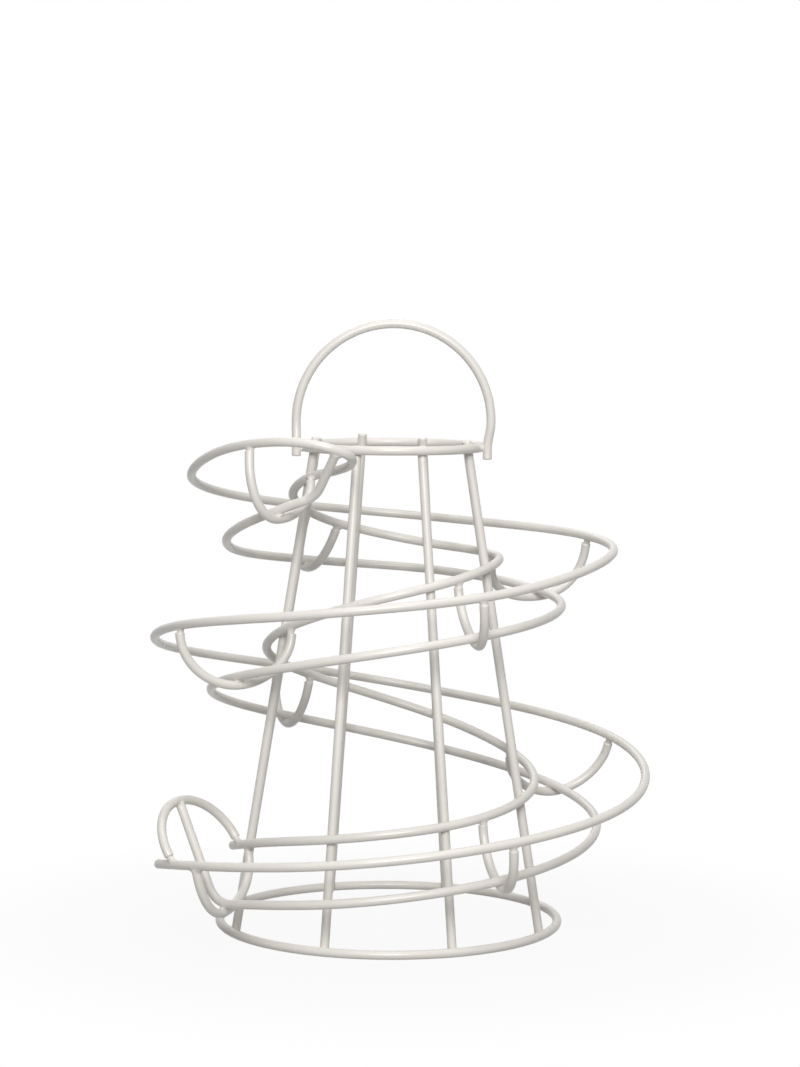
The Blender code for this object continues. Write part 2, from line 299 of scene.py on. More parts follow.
class Fillet(Enum):
    """The kinds of weld on the rack."""

    NECK = WeldSize()
    NUGGET = WeldSize(reach=1.1 * MM, waist=1.5 * MM)
    SMOOTH = WeldSize(reach=2.4 * MM, wrap=75.0, waist=2.33 * MM, drift=0.0, lump=0.08,
                      stand_off=-1.2 * MM, rise=2.4 * MM)
    LUMPY = WeldSize(reach=3.2 * MM, wrap=80.0, waist=2.28 * MM, drift=0.0, lump=0.16,
                     stand_off=-1.2 * MM, rise=1.9 * MM)


@dataclass(frozen=True)
class Weld:
    """What every weld between two wires has.

    Attributes:
        kind: Which kind of weld it is.
        seed: A number of its own, which its unevenness follows.
    """

    kind: Fillet
    seed: int

    @property
    def size(self) -> WeldSize:
        """The sizes of its kind."""
        return self.kind.value

    def turns(self) -> Array:
        """Angles round the weld, as a column of scalars."""
        return np.linspace(0.0, 2 * np.pi, self.size.columns, endpoint=False)[:, None]

    def shares(self) -> Array:
        """The share of the way from one wire to the other at each row."""
        return np.linspace(0.0, 1.0, self.size.rows + 1)[:, None, None]

    def reaches(self, turn: Array) -> Array:
        """The fillet's reach at each angle: its size, made uneven by two slow waves."""
        # The factors on the seed only set the waves' phases, so that no two welds look alike.
        wave = np.sin(2 * turn + self.seed) + 0.6 * np.sin(3 * turn + 2.3 * self.seed)
        return self.size.reach * (1 + self.size.lump * wave)

    def drifts(self) -> tuple[float, float]:
        """How far off centre the neck is along and across the first wire, at a seeded angle."""
        return self.size.drift * np.cos(2.7 * self.seed), self.size.drift * np.sin(2.7 * self.seed)

    def closed(self, grid: Array, first: Array, last: Array) -> Surface:
        """The grid between two poles, with whatever hangs too low lifted to the lowest height."""
        grid[..., 2] = np.maximum(grid[..., 2], self.size.lowest)
        return Surface(grid, False, (first, last))


@dataclass(frozen=True)
class EndWeld(Weld):
    """A fillet where the end of one wire stands on the side of another.

    Attributes:
        place: The point of the other wire's middle line that the end points at.
        rail_way: The other wire's direction there.
        stand_way: The direction in which the wire stands away from the other.
    """

    place: Array
    rail_way: Array
    stand_way: Array

    def surface(self, stock: WireStock) -> Surface:
        """A neck from inside the standing wire's end, flaring out onto the side of the other wire.

        At angle a round the standing wire the profile starts inside its end, on a circle of the
        waist's radius, and it ends on the other wire at (waist + reach) cos a along it and
        wrap sin a round it. Between the two it is a cubic that comes straight out of the end and
        lands tangent to the side.

        Args:
            stock: The wire that both are made of.

        Returns:
            The closed neck, with a pole inside each wire.
        """
        turn, radius, waist = self.turns(), stock.radius * self.size.end_sink, self.size.waist
        cos, sin = np.cos(turn), np.sin(turn)
        out = self.stand_way
        up = unit(out - (out @ self.rail_way) * self.rail_way)
        along = unit(self.rail_way - (self.rail_way @ out) * out)
        beside = np.cross(out, along)
        drift_along, drift_across = self.drifts()
        off = drift_along * along + drift_across * beside
        height = stock.setback(out, self.rail_way, self.size.rise)
        start = self.place + height * out + off + waist * (cos * along + sin * beside)
        bend = np.radians(self.size.wrap) * sin + drift_across / radius
        end = self.place + (cos * (waist + self.reaches(turn)) + drift_along) * self.rail_way
        end = end + radius * (np.cos(bend) * up + np.sin(bend) * beside)
        away = unit(cos * self.rail_way + sin * (np.cos(bend) * beside - np.sin(bend) * up))
        pull = np.linalg.norm(end - start, axis=1, keepdims=True)
        leave, land = self.size.pulls
        grid = hermite(start, -out * pull * leave, end, away * pull * land, self.shares())
        return self.closed(grid, self.place + height * out + off, self.place)


@dataclass(frozen=True)
class CrossWeld(Weld):
    """A neck where two wires cross side on side.

    Attributes:
        places: A point of each wire's middle line, nearest to the other wire.
        ways: The two wires' directions there.
    """

    places: tuple[Array, Array]
    ways: tuple[Array, Array]

    def surface(self, stock: WireStock) -> Surface:
        """A neck from a patch on one wire to a patch on the other, with a waist between them.

        At angle a round the line between the wires, each end of the profile lies on its wire at
        reach cos a along it and wrap sin a round it, both taken from that wire's own direction. A
        cubic with both its inner handles at the waist joins the two ends.

        Args:
            stock: The wire that both are made of.

        Returns:
            The closed neck, with a pole inside each wire.
        """
        turn, radius = self.turns(), stock.radius * self.size.cross_sink
        (low, high), (low_way, high_way) = self.places, self.ways
        over = unit(high - low)
        low_side, high_side = np.cross(over, low_way), np.cross(over, high_way)
        skew = np.arctan2(high_way @ low_side, high_way @ low_way)
        reach = self.reaches(turn) + self.size.waist * self.size.waist_share
        ends = []
        for place, way, side, face, angle in ((low, low_way, low_side, over, turn),
                                              (high, high_way, high_side, -over, turn - skew)):
            bend = np.radians(self.size.wrap) * np.sin(angle)
            ends.append(place + reach * np.cos(angle) * way
                        + radius * (np.sin(bend) * side + np.cos(bend) * face))
        waist = self.size.waist * (reach / reach.mean())
        along, across = self.drifts()
        middle = (low + high) / 2 + along * low_way + across * low_side
        handle = middle + waist * (np.cos(turn) * low_way + np.sin(turn) * low_side)
        t = self.shares()
        grid = (1 - t) ** 3 * ends[0] + 3 * t * (1 - t) * handle + t ** 3 * ends[1]
        return self.closed(grid, low, high)


# Finishes.


class Value:
    """A shader value that takes part in Python sums, each of which adds a Math node."""

    def __init__(self, bench: "Bench", socket: bpy.types.NodeSocket) -> None:
        """Keep the socket and the bench that its sums are built on."""
        self.bench, self.socket = bench, socket

    def sum(self, operation: str, first: object, second: object) -> "Value":
        """A Math node of the given operation on two values."""
        node = self.bench.node("ShaderNodeMath", {"operation": operation}, {0: first, 1: second})
        return Value(self.bench, node.outputs[0])

    def __add__(self, other: object) -> "Value":
        """Value + other."""
        return self.sum("ADD", self, other)

    def __radd__(self, other: object) -> "Value":
        """Other + value."""
        return self.sum("ADD", other, self)

    def __sub__(self, other: object) -> "Value":
        """Value - other."""
        return self.sum("SUBTRACT", self, other)

    def __rsub__(self, other: object) -> "Value":
        """Other - value."""
        return self.sum("SUBTRACT", other, self)

    def __mul__(self, other: object) -> "Value":
        """Value * other."""
        return self.sum("MULTIPLY", self, other)

    def __rmul__(self, other: object) -> "Value":
        """Other * value."""
        return self.sum("MULTIPLY", other, self)


class Bench:
    """Builds the node tree of one material or of the world."""

    def __init__(self, owner: bpy.types.Material | bpy.types.World) -> None:
        """Start from an empty tree.

        Args:
            owner: The material or world that the tree belongs to.
        """
        owner.use_nodes = True
        self.tree = owner.node_tree
        self.tree.nodes.clear()

    def node(self, kind: str, settings: dict[str, object] | None = None,
             inputs: dict[str | int, object] | None = None) -> bpy.types.Node:
        """Add any node.

        Args:
            kind: The node's type.
            settings: Its own settings, which are set first.
            inputs: What its sockets hold or are linked from, by their name or number.

        Returns:
            The new node.
        """
        node = self.tree.nodes.new(kind)
        for name, value in (settings or {}).items():
            setattr(node, name, value)
        for name, value in (inputs or {}).items():
            if isinstance(value, Value):
                value = value.socket
            if isinstance(value, bpy.types.NodeSocket):
                self.tree.links.new(value, node.inputs[name])
            else:
                node.inputs[name].default_value = value
        return node

    def place(self) -> bpy.types.NodeSocket:
        """The point's place on its own object."""
        return self.node("ShaderNodeTexCoord").outputs["Object"]

    def noise(self, feature: float, detail: float) -> Value:
        """Noise from 0 to 1 whose lumps are about as long as the feature."""
        inputs = {"Vector": self.place(), "Scale": 1.0 / feature, "Detail": detail}
        return Value(self, self.node("ShaderNodeTexNoise", None, inputs).outputs["Fac"])

    def mix(self, share: Value, low: Colour, high: Colour) -> bpy.types.NodeSocket:
        """A colour between two, by a share."""
        inputs = {0: share, 6: low, 7: high}  # Sockets 6 and 7 and output 2 are for colours.
        return self.node("ShaderNodeMix", {"data_type": "RGBA"}, inputs).outputs[2]


@dataclass(frozen=True)
class PowderCoat:
    """Off-white gloss powder coating on steel wire.

    Attributes:
        colour: The coating where it is thick.
        thin_colour: Where it is thinner, or has yellowed a little.
        contrast: How much the clouds between the two are sharpened.
        roughness: Its middle roughness.
        roughness_spread: How much the roughness changes over the wire.
        cloud: The length of the slow changes of shade.
        cloud_detail: How ragged they are.
        peel: The length of the waves that the melted powder leaves.
        peel_depth: How deep these waves are.
    """

    colour: Colour = (0.787, 0.756, 0.710, 1.0)
    thin_colour: Colour = (0.740, 0.707, 0.657, 1.0)
    contrast: float = 1.6
    roughness: float = 0.30
    roughness_spread: float = 0.08
    cloud: float = 22.0 * MM
    cloud_detail: float = 3.0
    peel: float = 2.4 * MM
    peel_depth: float = 0.010 * MM

    def material(self, name: str) -> bpy.types.Material:
        """The coating's shader.

        The shade and the roughness follow slow clouds, and the waves of the peel make the bump.

        Args:
            name: The material's name.

        Returns:
            The new material.
        """
        material = bpy.data.materials.new(name)
        bench = Bench(material)
        clouds, peel = bench.noise(self.cloud, self.cloud_detail), bench.noise(self.peel, 0.0)
        share = clouds * self.contrast - (self.contrast - 1) / 2
        bump = bench.node("ShaderNodeBump", None, {
            "Strength": 1.0, "Distance": self.peel_depth, "Height": peel})
        shader = bench.node("ShaderNodeBsdfPrincipled", None, {
            "Base Color": bench.mix(share, self.colour, self.thin_colour),
            "Roughness": self.roughness + (clouds + peel - 1.0) * self.roughness_spread,
            "Metallic": 0.0, "IOR": 1.5, "Specular IOR Level": 0.5,
            "Normal": bump.outputs["Normal"]})
        bench.node("ShaderNodeOutputMaterial", None, {"Surface": shader.outputs["BSDF"]})
        return material


# Pieces.


class Role(Enum):
    """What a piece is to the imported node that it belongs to."""

    STANDS_FOR_IT = "stands for"
    LIES_ON_IT = "lies on"


@dataclass
class Cone:
    """The cone that the rings and the run's inner rail lie on, and the axis that it stands on.

    Attributes:
        base_radius: To the middle of the base ring's wire.
        top_radius: To the middle of the top ring's wire.
        base_height: Of the base ring's middle.
        top_height: Of the top ring's middle.
    """

    base_radius: float = 89.7 * MM
    top_radius: float = 47.4 * MM
    base_height: float = 2.171 * MM
    top_height: float = 253.9 * MM

    def __post_init__(self) -> None:
        """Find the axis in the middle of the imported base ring."""
        low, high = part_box("base_ring")
        self.axis = np.array([(low.x + high.x) / 2, (low.y + high.y) / 2, 0.0])

    def share(self, height: Scalars) -> Scalars:
        """How far up from the base ring to the top ring a height is."""
        return (height - self.base_height) / (self.top_height - self.base_height)

    def radius(self, height: Scalars) -> Scalars:
        """The cone's radius at a height: straight from the base ring to the top ring."""
        return self.base_radius + (self.top_radius - self.base_radius) * self.share(height)

    def around(self, angle: Scalars, radius: Scalars, height: Scalars) -> Array:
        """Points at an angle, radius and height round the axis."""
        turn, radius, height = np.broadcast_arrays(np.radians(angle), radius, height)
        return self.axis + np.stack([-radius * np.cos(turn), radius * np.sin(turn), height], -1)

    @staticmethod
    def downstream(angle: float) -> Array:
        """The level direction in which the run goes on at an angle."""
        return np.array([np.sin(np.radians(angle)), np.cos(np.radians(angle)), 0.0])


@dataclass
class SubAssembly:
    """What every sub-assembly has: the cone that it follows, its wire and its coating."""

    cone: Cone
    stock: WireStock
    finish: PowderCoat

    def make_piece(self, name: str, node: str, role: Role, surfaces: list[Surface]) -> None:
        """Put closed surfaces into one mesh, dress it and hang it on the frame.

        Args:
            name: The piece's name.
            node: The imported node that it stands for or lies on.
            role: Which of the two.
            surfaces: Its closed surfaces.
        """
        vertices, faces, start = [], [], 0
        for surface in surfaces:
            vertices.append(surface.vertices())
            for corners in surface.faces():
                faces += (corners + start).tolist()
            start += len(vertices[-1])
        mesh = bpy.data.meshes.new(name)
        mesh.from_pydata(np.concatenate(vertices).tolist(), [], faces)
        mesh.polygons.foreach_set("use_smooth", np.ones(len(faces), dtype=bool))
        mesh.update()
        mesh.materials.append(self.finish.material(f"coat_{name}"))
        thing = bpy.data.objects.new(name, mesh)
        bpy.context.scene.collection.objects.link(thing)
        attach(thing, "root")
        if role is Role.STANDS_FOR_IT:
            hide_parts(node)
        log.info("%s: %d faces, %s %s", name, len(faces), role.value, node)

    def make_wire(self, node: str, line: WireLine) -> None:
        """Make the wire that stands for a node."""
        self.make_piece(f"{node}_wire", node, Role.STANDS_FOR_IT, [self.stock.tube(line)])

    def make_welds(self, node: str, welds: list[EndWeld | CrossWeld]) -> None:
        """Make the welds that lie on a node's wire, as one piece."""
        surfaces = [weld.surface(self.stock) for weld in welds]
        self.make_piece(f"{node}_welds", node, Role.LIES_ON_IT, surfaces)


@dataclass
class Rack(SubAssembly):
    """The two rings and the eight straight uprights between them.

    Attributes:
        ring_steps: Rows round a ring.
        angles: Of each upright's foot and head. They are welded by hand, so not quite evenly.
        foot_lift: How far the uprights' feet are off the table.
        stub_shares: How far each stands above the top ring, in wire diameters.
    """

    ring_steps: int = 240
    angles: tuple[tuple[float, float], ...] = (
        (19.9, 24.1), (67.5, 68.5), (111.6, 112.9), (157.9, 157.4),
        (203.5, 203.3), (247.6, 248.5), (292.0, 293.3), (338.1, 336.4))
    foot_lift: float = 0.6 * MM
    stub_shares: tuple[float, ...] = (0.76, 1.03, 0.60, 0.48, 0.82, 0.45, 0.45, 1.12)

    def angle(self, index: int, height: float) -> float:
        """About where an upright stands at a height. On later turns its index goes on counting."""
        turns, (foot, head) = index // len(self.angles), self.angles[index % len(self.angles)]
        return 360.0 * turns + foot + (head - foot) * self.cone.share(height)

    def ring_line(self, radius: float, height: float) -> WireLine:
        """A level circle round the axis."""
        angles = np.arange(self.ring_steps) * 360.0 / self.ring_steps
        return WireLine(self.cone.around(angles, radius, height), ring=True)

    def upright_place(self, index: int, height: Scalars) -> Array:
        """Points of an upright's middle line: straight from its foot to its head, inside the rings.

        Args:
            index: Which upright it is, counted from 0.
            height: The points' heights.

        Returns:
            foot + share (head - foot), where share is how far up the cone the height is.
        """
        cone, (foot_angle, head_angle) = self.cone, self.angles[index]
        foot = cone.around(foot_angle, cone.base_radius - self.stock.beside, cone.base_height)
        head = cone.around(head_angle, cone.top_radius - self.stock.beside, cone.top_height)
        return foot + np.multiply.outer(cone.share(height), head - foot)

    def upright_line(self, index: int) -> WireLine:
        """One straight upright, from its foot to its stub.

        Args:
            index: Which upright it is, counted from 0.

        Returns:
            Its middle line.
        """
        top = self.cone.top_height + self.stock.diameter * self.stub_shares[index]
        heights = np.linspace(self.foot_lift, top, int(top / self.stock.step))
        flat = self.cone.downstream(self.angles[index][0])
        return WireLine(self.upright_place(index, heights), flat=flat)

    def welds(self, index: int) -> list[CrossWeld]:
        """The welds of one upright to the base ring and the top ring.

        Args:
            index: Which upright it is, counted from 0.

        Returns:
            The two welds. Their seeds count on from upright to upright.
        """
        cone, found = self.cone, []
        way = unit(self.upright_place(index, cone.top_height) - self.upright_place(index, 0.0))
        for number, (height, kind) in enumerate(((cone.base_height, Fillet.NUGGET),
                                                 (cone.top_height, Fillet.NECK))):
            angle = self.angles[index][number]
            ring = cone.around(angle, cone.radius(height), height)
            places, ways = (self.upright_place(index, height), ring), (way, cone.downstream(angle))
            found.append(CrossWeld(kind, index * 2 + number, places, ways))
        return found

    def build(self) -> None:
        """Make the rings, the uprights and their welds."""
        cone = self.cone
        self.make_wire("base_ring", self.ring_line(cone.base_radius, cone.base_height))
        self.make_wire("top_ring", self.ring_line(cone.top_radius, cone.top_height))
        for index in range(len(self.angles)):
            self.make_wire(f"upright_{index + 1}", self.upright_line(index))
            self.make_welds(f"upright_{index + 1}", self.welds(index))


@dataclass
class CarryHandle(SubAssembly):
    """The round carrying handle, whose legs come in to feet on the outside of the top ring.

    Attributes:
        rise: From the middle of the top ring to the top of the arch.
        arch_radius: Of the arch's middle line.
        foot_angles: Where the feet stand.
        side_lean: How far the arch's middle is to the right of the middle of the feet.
        foot_gap: From the top ring's middle to a foot's middle.
        foot_drops: How far the two feet reach below the top ring's middle.
        steps, leg_steps: Rows round the arch, and up a leg.
        seed: The first of its welds' seeds.
    """

    rise: float = 66.9 * MM
    arch_radius: float = 50.7 * MM
    foot_angles: tuple[float, float] = (339.9, 196.8)
    side_lean: float = 0.8 * MM
    foot_gap: float = 5.05 * MM
    foot_drops: tuple[float, float] = (4.4 * MM, 5.9 * MM)
    steps: int = 150
    leg_steps: int = 11
    seed: int = 40

    def feet(self) -> list[Array]:
        """The legs' places beside the top ring."""
        radius = self.cone.top_radius + self.foot_gap
        return [self.cone.around(angle, radius, self.cone.top_height) for angle in self.foot_angles]

    def line(self) -> WireLine:
        """Legs that rise smoothly to a half circle.

        Returns:
            The middle line. Its arch is centre + radius (cos a, 0, sin a), from 180 to 0 degrees.
        """
        feet = self.feet()
        height = self.rise - self.stock.radius - self.arch_radius
        centre = (feet[0] + feet[1]) / 2 + np.array([self.side_lean, 0.0, height])
        sweep = np.linspace(np.pi, 0.0, self.steps + 1)[:, None]
        arch = centre + self.arch_radius * (np.cos(sweep) * [1.0, 0.0, 0.0] + np.sin(sweep) * UP)
        t, pull = np.linspace(0.0, 1.0, self.leg_steps + 1)[:-1, None], UP * height
        legs = [hermite(foot, pull, end, pull, t) for foot, end in zip(feet, (arch[0], arch[-1]))]
        ends = [foot[None] - UP * drop for foot, drop in zip(feet, self.foot_drops)]
        line = np.concatenate([ends[0], legs[0], arch, legs[1][::-1], ends[1]])
        return WireLine(line, flat=np.array([0.0, 1.0, 0.0])).redivided(self.stock.step)

    def build(self) -> None:
        """Make the handle and its two welds."""
        self.make_wire("carry_handle", self.line())
        welds = []
        for number, (foot, angle) in enumerate(zip(self.feet(), self.foot_angles)):
            ring = self.cone.around(angle, self.cone.top_radius, self.cone.top_height)
            ways = (self.cone.downstream(angle), UP)
            welds.append(CrossWeld(Fillet.NECK, self.seed + number, (ring, foot), ways))
        self.make_welds("carry_handle", welds)


class Column(IntEnum):
    """The columns of the table of stations down the run."""

    ANGLE = 0
    OUTER = 1
    INNER = 2
    BOTTOM = 3
    WIDTH = 4
    OFFSET = 5


@dataclass
class EggRun(SubAssembly):
    """The three rails of the spiral run, and the loop where the eggs go in.

    Attributes:
        width: Between the middles of the inner and outer rails.
        stations: Down the run: the angle, the heights of the outer, inner and bottom rails as
            shares of the top ring's height, the width as a share, and how far the bottom rail is
            out from the middle between the other two, as a share of the width.
        outer_end, inner_end: Where the two rails' free ends are.
        loop_angles: Where the loop leaves the outer rail and joins the inner rail.
        loop_reaches: How hard the loop pulls at its two ends.
        loop_rows: Points of the loop that belong to the outer rail and to the inner rail.
        loop_step: A short way along the loop, as a share of it.
        turn_angle, turn_radius, turn_height_share: Where it turns back, furthest up the run.
        turn_drop: How far it drops there as a share of the way that it goes inwards.
        turn_reach: How hard it pulls there.
        loop_seam: The share of the loop where the two rails' ends meet.
        seam_rim: How round the rims are at the seam.
        bottom_angles: Where the bottom rail turns up at its two ends.
        bottom_bend: The radius of these turns.
        bend_rows: Points of such a turn.
        chord_rows: How many points of the rail its direction into a turn is taken over.
        end_rows: How many points its direction at an end is taken over.
        bottom_flat: A direction that the bottom rail is nowhere parallel to.
        bottom_fillet: The welds of the bottom rail's two ends.
        meeting: The share of the loop where the bottom rail's upper end stands.
        turn_step: Degrees between two points of a rail.
        crossing_rounds: How often the place of an upright that a rail crosses is bettered.
        seeds: The first seed of the welds to the uprights, and that of the weld to the loop.
    """

    width: float = 58.0 * MM
    stations: tuple[tuple[float, ...], ...] = (
        (-72.0, 1.0316, 0.9542, 0.9328, 0.932, 0.098),
        (-45.0, 1.0165, 0.9503, 0.8755, 0.916, 0.198),
        (5.0, 0.9273, 0.8945, 0.7889, 0.924, 0.130),
        (62.0, 0.8513, 0.8215, 0.7346, 0.959, 0.108),
        (108.0, 0.8190, 0.7840, 0.7117, 0.930, 0.092),
        (155.0, 0.7999, 0.7713, 0.6853, 1.054, 0.042),
        (197.0, 0.7782, 0.7637, 0.6665, 1.017, 0.063),
        (240.0, 0.7331, 0.7356, 0.6412, 0.954, 0.122),
        (283.0, 0.7009, 0.6960, 0.6004, 1.026, 0.083),
        (326.0, 0.6567, 0.6374, 0.5431, 1.065, 0.028),
        (370.0, 0.5744, 0.5638, 0.4698, 0.998, -0.009),
        (414.0, 0.4992, 0.4904, 0.3926, 0.991, -0.021),
        (460.0, 0.4283, 0.4158, 0.3195, 0.946, 0.025),
        (513.0, 0.3616, 0.3384, 0.2471, 1.037, 0.053),
        (555.0, 0.3048, 0.2962, 0.2050, 1.002, 0.069),
        (598.0, 0.2636, 0.2624, 0.1668, 1.005, 0.070),
        (640.0, 0.2231, 0.2365, 0.1291, 1.002, 0.057),
        (679.0, 0.1868, 0.2068, 0.0976, 0.967, 0.094),
        (712.0, 0.1401, 0.1697, 0.0570, 0.825, 0.335),
    )
    outer_end: float = 689.8
    inner_end: float = 713.2
    loop_angles: tuple[float, float] = (-54.3, -42.1)
    loop_reaches: tuple[float, float] = (74.9 * MM, 63.9 * MM)
    loop_rows: tuple[int, int] = (90, 60)
    loop_step: float = 0.01
    turn_angle: float = -77.2
    turn_radius: float = 88.6 * MM
    turn_height_share: float = 0.994
    turn_drop: float = 0.35
    turn_reach: float = 35.0 * MM
    loop_seam: float = 0.55
    seam_rim: float = 0.3
    bottom_angles: tuple[float, float] = (-63.5, 679.8)
    bottom_bend: float = 16.3 * MM
    bend_rows: int = 25
    chord_rows: int = 8
    end_rows: int = 3
    bottom_flat: tuple[float, float, float] = (0.35, 0.3, 0.9)
    bottom_fillet: Fillet = Fillet.SMOOTH
    meeting: float = 0.340
    turn_step: float = 1.5
    crossing_rounds: int = 4
    seeds: tuple[int, int] = (60, 90)

    def station(self, column: Column, angle: Scalars) -> Array:
        """One column of the stations at any angle, along cubics that share their slopes.

        Args:
            column: Which column.
            angle: Where along the run.

        Returns:
            The column's values there.
        """
        table = np.array(self.stations)
        places, values = table[:, Column.ANGLE], table[:, column]
        slopes = np.gradient(values, places)
        at = np.asarray(angle, dtype=float)
        left = np.clip(np.searchsorted(places, at) - 1, 0, len(places) - 2)
        span, right = places[left + 1] - places[left], left + 1
        t = (at - places[left]) / span
        return hermite(values[left], span * slopes[left], values[right], span * slopes[right], t)

    def height(self, column: Column, angle: Scalars) -> Array:
        """A rail's height at an angle."""
        return self.cone.top_height * self.station(column, angle)

    def rail(self, column: Column, angle: Scalars, share: Scalars) -> Array:
        """A rail's middle line, a share of the run's width outwards from the inner rail's cone."""
        radius = self.cone.radius(self.height(Column.INNER, angle)) + self.width * share
        return self.cone.around(angle, radius, self.height(column, angle))

    def outer(self, angle: Scalars) -> Array:
        """The outer rail's middle line."""
        return self.rail(Column.OUTER, angle, self.station(Column.WIDTH, angle))

    def inner(self, angle: Scalars) -> Array:
        """The inner rail's middle line, on the cone and against the uprights."""
        return self.rail(Column.INNER, angle, 0.0)

    def bottom(self, angle: Scalars) -> Array:
        """The bottom rail's middle line."""
        share = self.station(Column.WIDTH, angle) / 2 + self.station(Column.OFFSET, angle)
        return self.rail(Column.BOTTOM, angle, share)

    def way(self, line: Callable[[float], Array], angle: float) -> Array:
        """The direction of a rail's line at an angle."""
        return unit(line(angle + self.turn_step) - line(angle - self.turn_step))

    def loop(self, t: Scalars) -> Array:
        """The entry loop: a cubic from the outer rail to its turn, and one from there to the inner.

        Args:
            t: Shares of the loop, from 0 at the outer rail over 1/2 at the turn to 1 at the inner.

        Returns:
            Points of the wire's middle line.
        """
        t, cone = np.asarray(t, dtype=float)[..., None], self.cone
        start, end = self.outer(self.loop_angles[0]), self.inner(self.loop_angles[1])
        start_pull = -self.way(self.outer, self.loop_angles[0]) * self.loop_reaches[0]
        end_pull = self.way(self.inner, self.loop_angles[1]) * self.loop_reaches[1]
        height = cone.top_height * self.turn_height_share
        turn = cone.around(self.turn_angle, self.turn_radius, height)
        inwards = cone.around(self.turn_angle, -1.0, -self.turn_drop) - cone.axis
        turn_pull = unit(inwards) * self.turn_reach
        before = hermite(start, start_pull, turn, turn_pull, 2 * t)
        return np.where(t < 0.5, before, hermite(turn, turn_pull, end, end_pull, 2 * t - 1))

    def loop_way(self) -> Array:
        """The loop's direction where the bottom rail's upper end stands."""
        before, after = self.meeting - self.loop_step, self.meeting + self.loop_step
        return unit(self.loop(after) - self.loop(before))

    def angles(self, first: float, last: float) -> Array:
        """Even angles from first to last."""
        return np.linspace(first, last, int(abs(last - first) / self.turn_step) + 1)

    def bend(self, before: Array, corner: Array, after: Array) -> Array:
        """An arc that rounds a corner between two straight stretches.

        Args:
            before: A point on the stretch that comes in.
            corner: Where the two stretches would meet.
            after: A point on the stretch that goes on.

        Returns:
            Points that swing round the arc's centre from the one stretch to the other.
        """
        back, on = unit(before - corner), unit(after - corner)
        half = np.arccos(np.clip(back @ on, -1, 1)) / 2
        centre = corner + unit(back + on) * self.bottom_bend / np.sin(half)
        reach = self.bottom_bend / np.tan(half)
        first, last = corner + back * reach - centre, corner + on * reach - centre
        sweep, t = np.pi - 2 * half, np.linspace(0.0, 1.0, self.bend_rows)[:, None]
        return centre + (np.sin((1 - t) * sweep) * first + np.sin(t * sweep) * last) / np.sin(sweep)

    def rail_line(self, rail: Callable[[Array], Array], side: int, last: float) -> WireLine:
        """From the seam in the loop to the free end of the outer or inner rail.

        Args:
            rail: The rail's middle line.
            side: 0 for the outer rail's end of the loop, 1 for the inner rail's.
            last: The angle of the free end.

        Returns:
            The wire's middle line.
        """
        loop = self.loop(np.linspace(self.loop_seam, side, self.loop_rows[side])[:-1])
        points = np.concatenate([loop, rail(self.angles(self.loop_angles[side], last))])
        return WireLine(points, rims=(self.seam_rim, 1.0)).redivided(self.stock.step)

    def bottom_line(self, stop_top: Array) -> WireLine:
        """The bottom rail, turned up to the loop and to the end stop's top.

        Args:
            stop_top: The top of the end stop.

        Returns:
            The wire's middle line. The rail's own points go on where the two turns end.
        """
        run, meeting = self.bottom(self.angles(*self.bottom_angles)), self.loop(self.meeting)
        first = self.bend(meeting, run[0], run[self.chord_rows])
        last = self.bend(run[-1 - self.chord_rows], run[-1], stop_top)
        quarter_step = np.linalg.norm(run[1] - run[0]) / 4
        after, before = (
            np.linalg.norm(run - corner, axis=1) > np.linalg.norm(touch - corner) + quarter_step
            for touch, corner in ((first[-1], run[0]), (last[0], run[-1])))
        up, stop_up = unit(meeting - first[0]), unit(stop_top - last[-1])
        stand_off = self.bottom_fillet.value.stand_off
        top = meeting - up * self.stock.setback(up, self.loop_way(), stand_off)
        end = stop_top - stop_up * (self.stock.radius + stand_off)
        points = np.concatenate([[top], first, run[after & before], last, [end]])
        return WireLine(points, flat=unit(np.array(self.bottom_flat))).redivided(self.stock.step)

    def upright_welds(self, rack: Rack) -> list[CrossWeld]:
        """The welds of the inner rail to the uprights that it passes.

        Args:
            rack: The rack with the uprights.

        Returns:
            A weld wherever an upright and the rail cross, down the run.
        """
        found, count = [], len(rack.angles)
        for number in range(-1, 2 * count):
            angle = rack.angle(number, self.cone.top_height)
            for _ in range(self.crossing_rounds):
                angle = rack.angle(number, float(self.inner(angle)[2]))
            if self.loop_angles[1] < angle < self.inner_end:
                rail = self.inner(angle)
                upright = rack.upright_place(number % count, rail[2])
                above = rack.upright_place(number % count, rail[2] + self.stock.diameter)
                ways = (unit(above - upright), self.way(self.inner, angle))
                found.append(CrossWeld(Fillet.NECK, self.seeds[0] + number, (upright, rail), ways))
        return found

    def build(self, rack: Rack, stop_top: Array) -> Array:
        """Make the three rails and their welds.

        Args:
            rack: The rack that the inner rail is welded to.
            stop_top: The top of the end stop.

        Returns:
            The direction in which the bottom rail's lower end stands away from the end stop.
        """
        bottom = self.bottom_line(stop_top)
        self.make_wire("outer_rail", self.rail_line(self.outer, 0, self.outer_end))
        self.make_wire("inner_rail", self.rail_line(self.inner, 1, self.inner_end))
        self.make_wire("bottom_rail", bottom)
        self.make_welds("inner_rail", self.upright_welds(rack))
        points, rows = bottom.points, self.end_rows
        up = unit(points[rows] - points[0])
        place = self.loop(self.meeting)
        top = EndWeld(self.bottom_fillet, self.seeds[1], place, self.loop_way(), up)
        self.make_welds("bottom_rail", [top])
        return unit(points[-1 - rows] - points[-1])


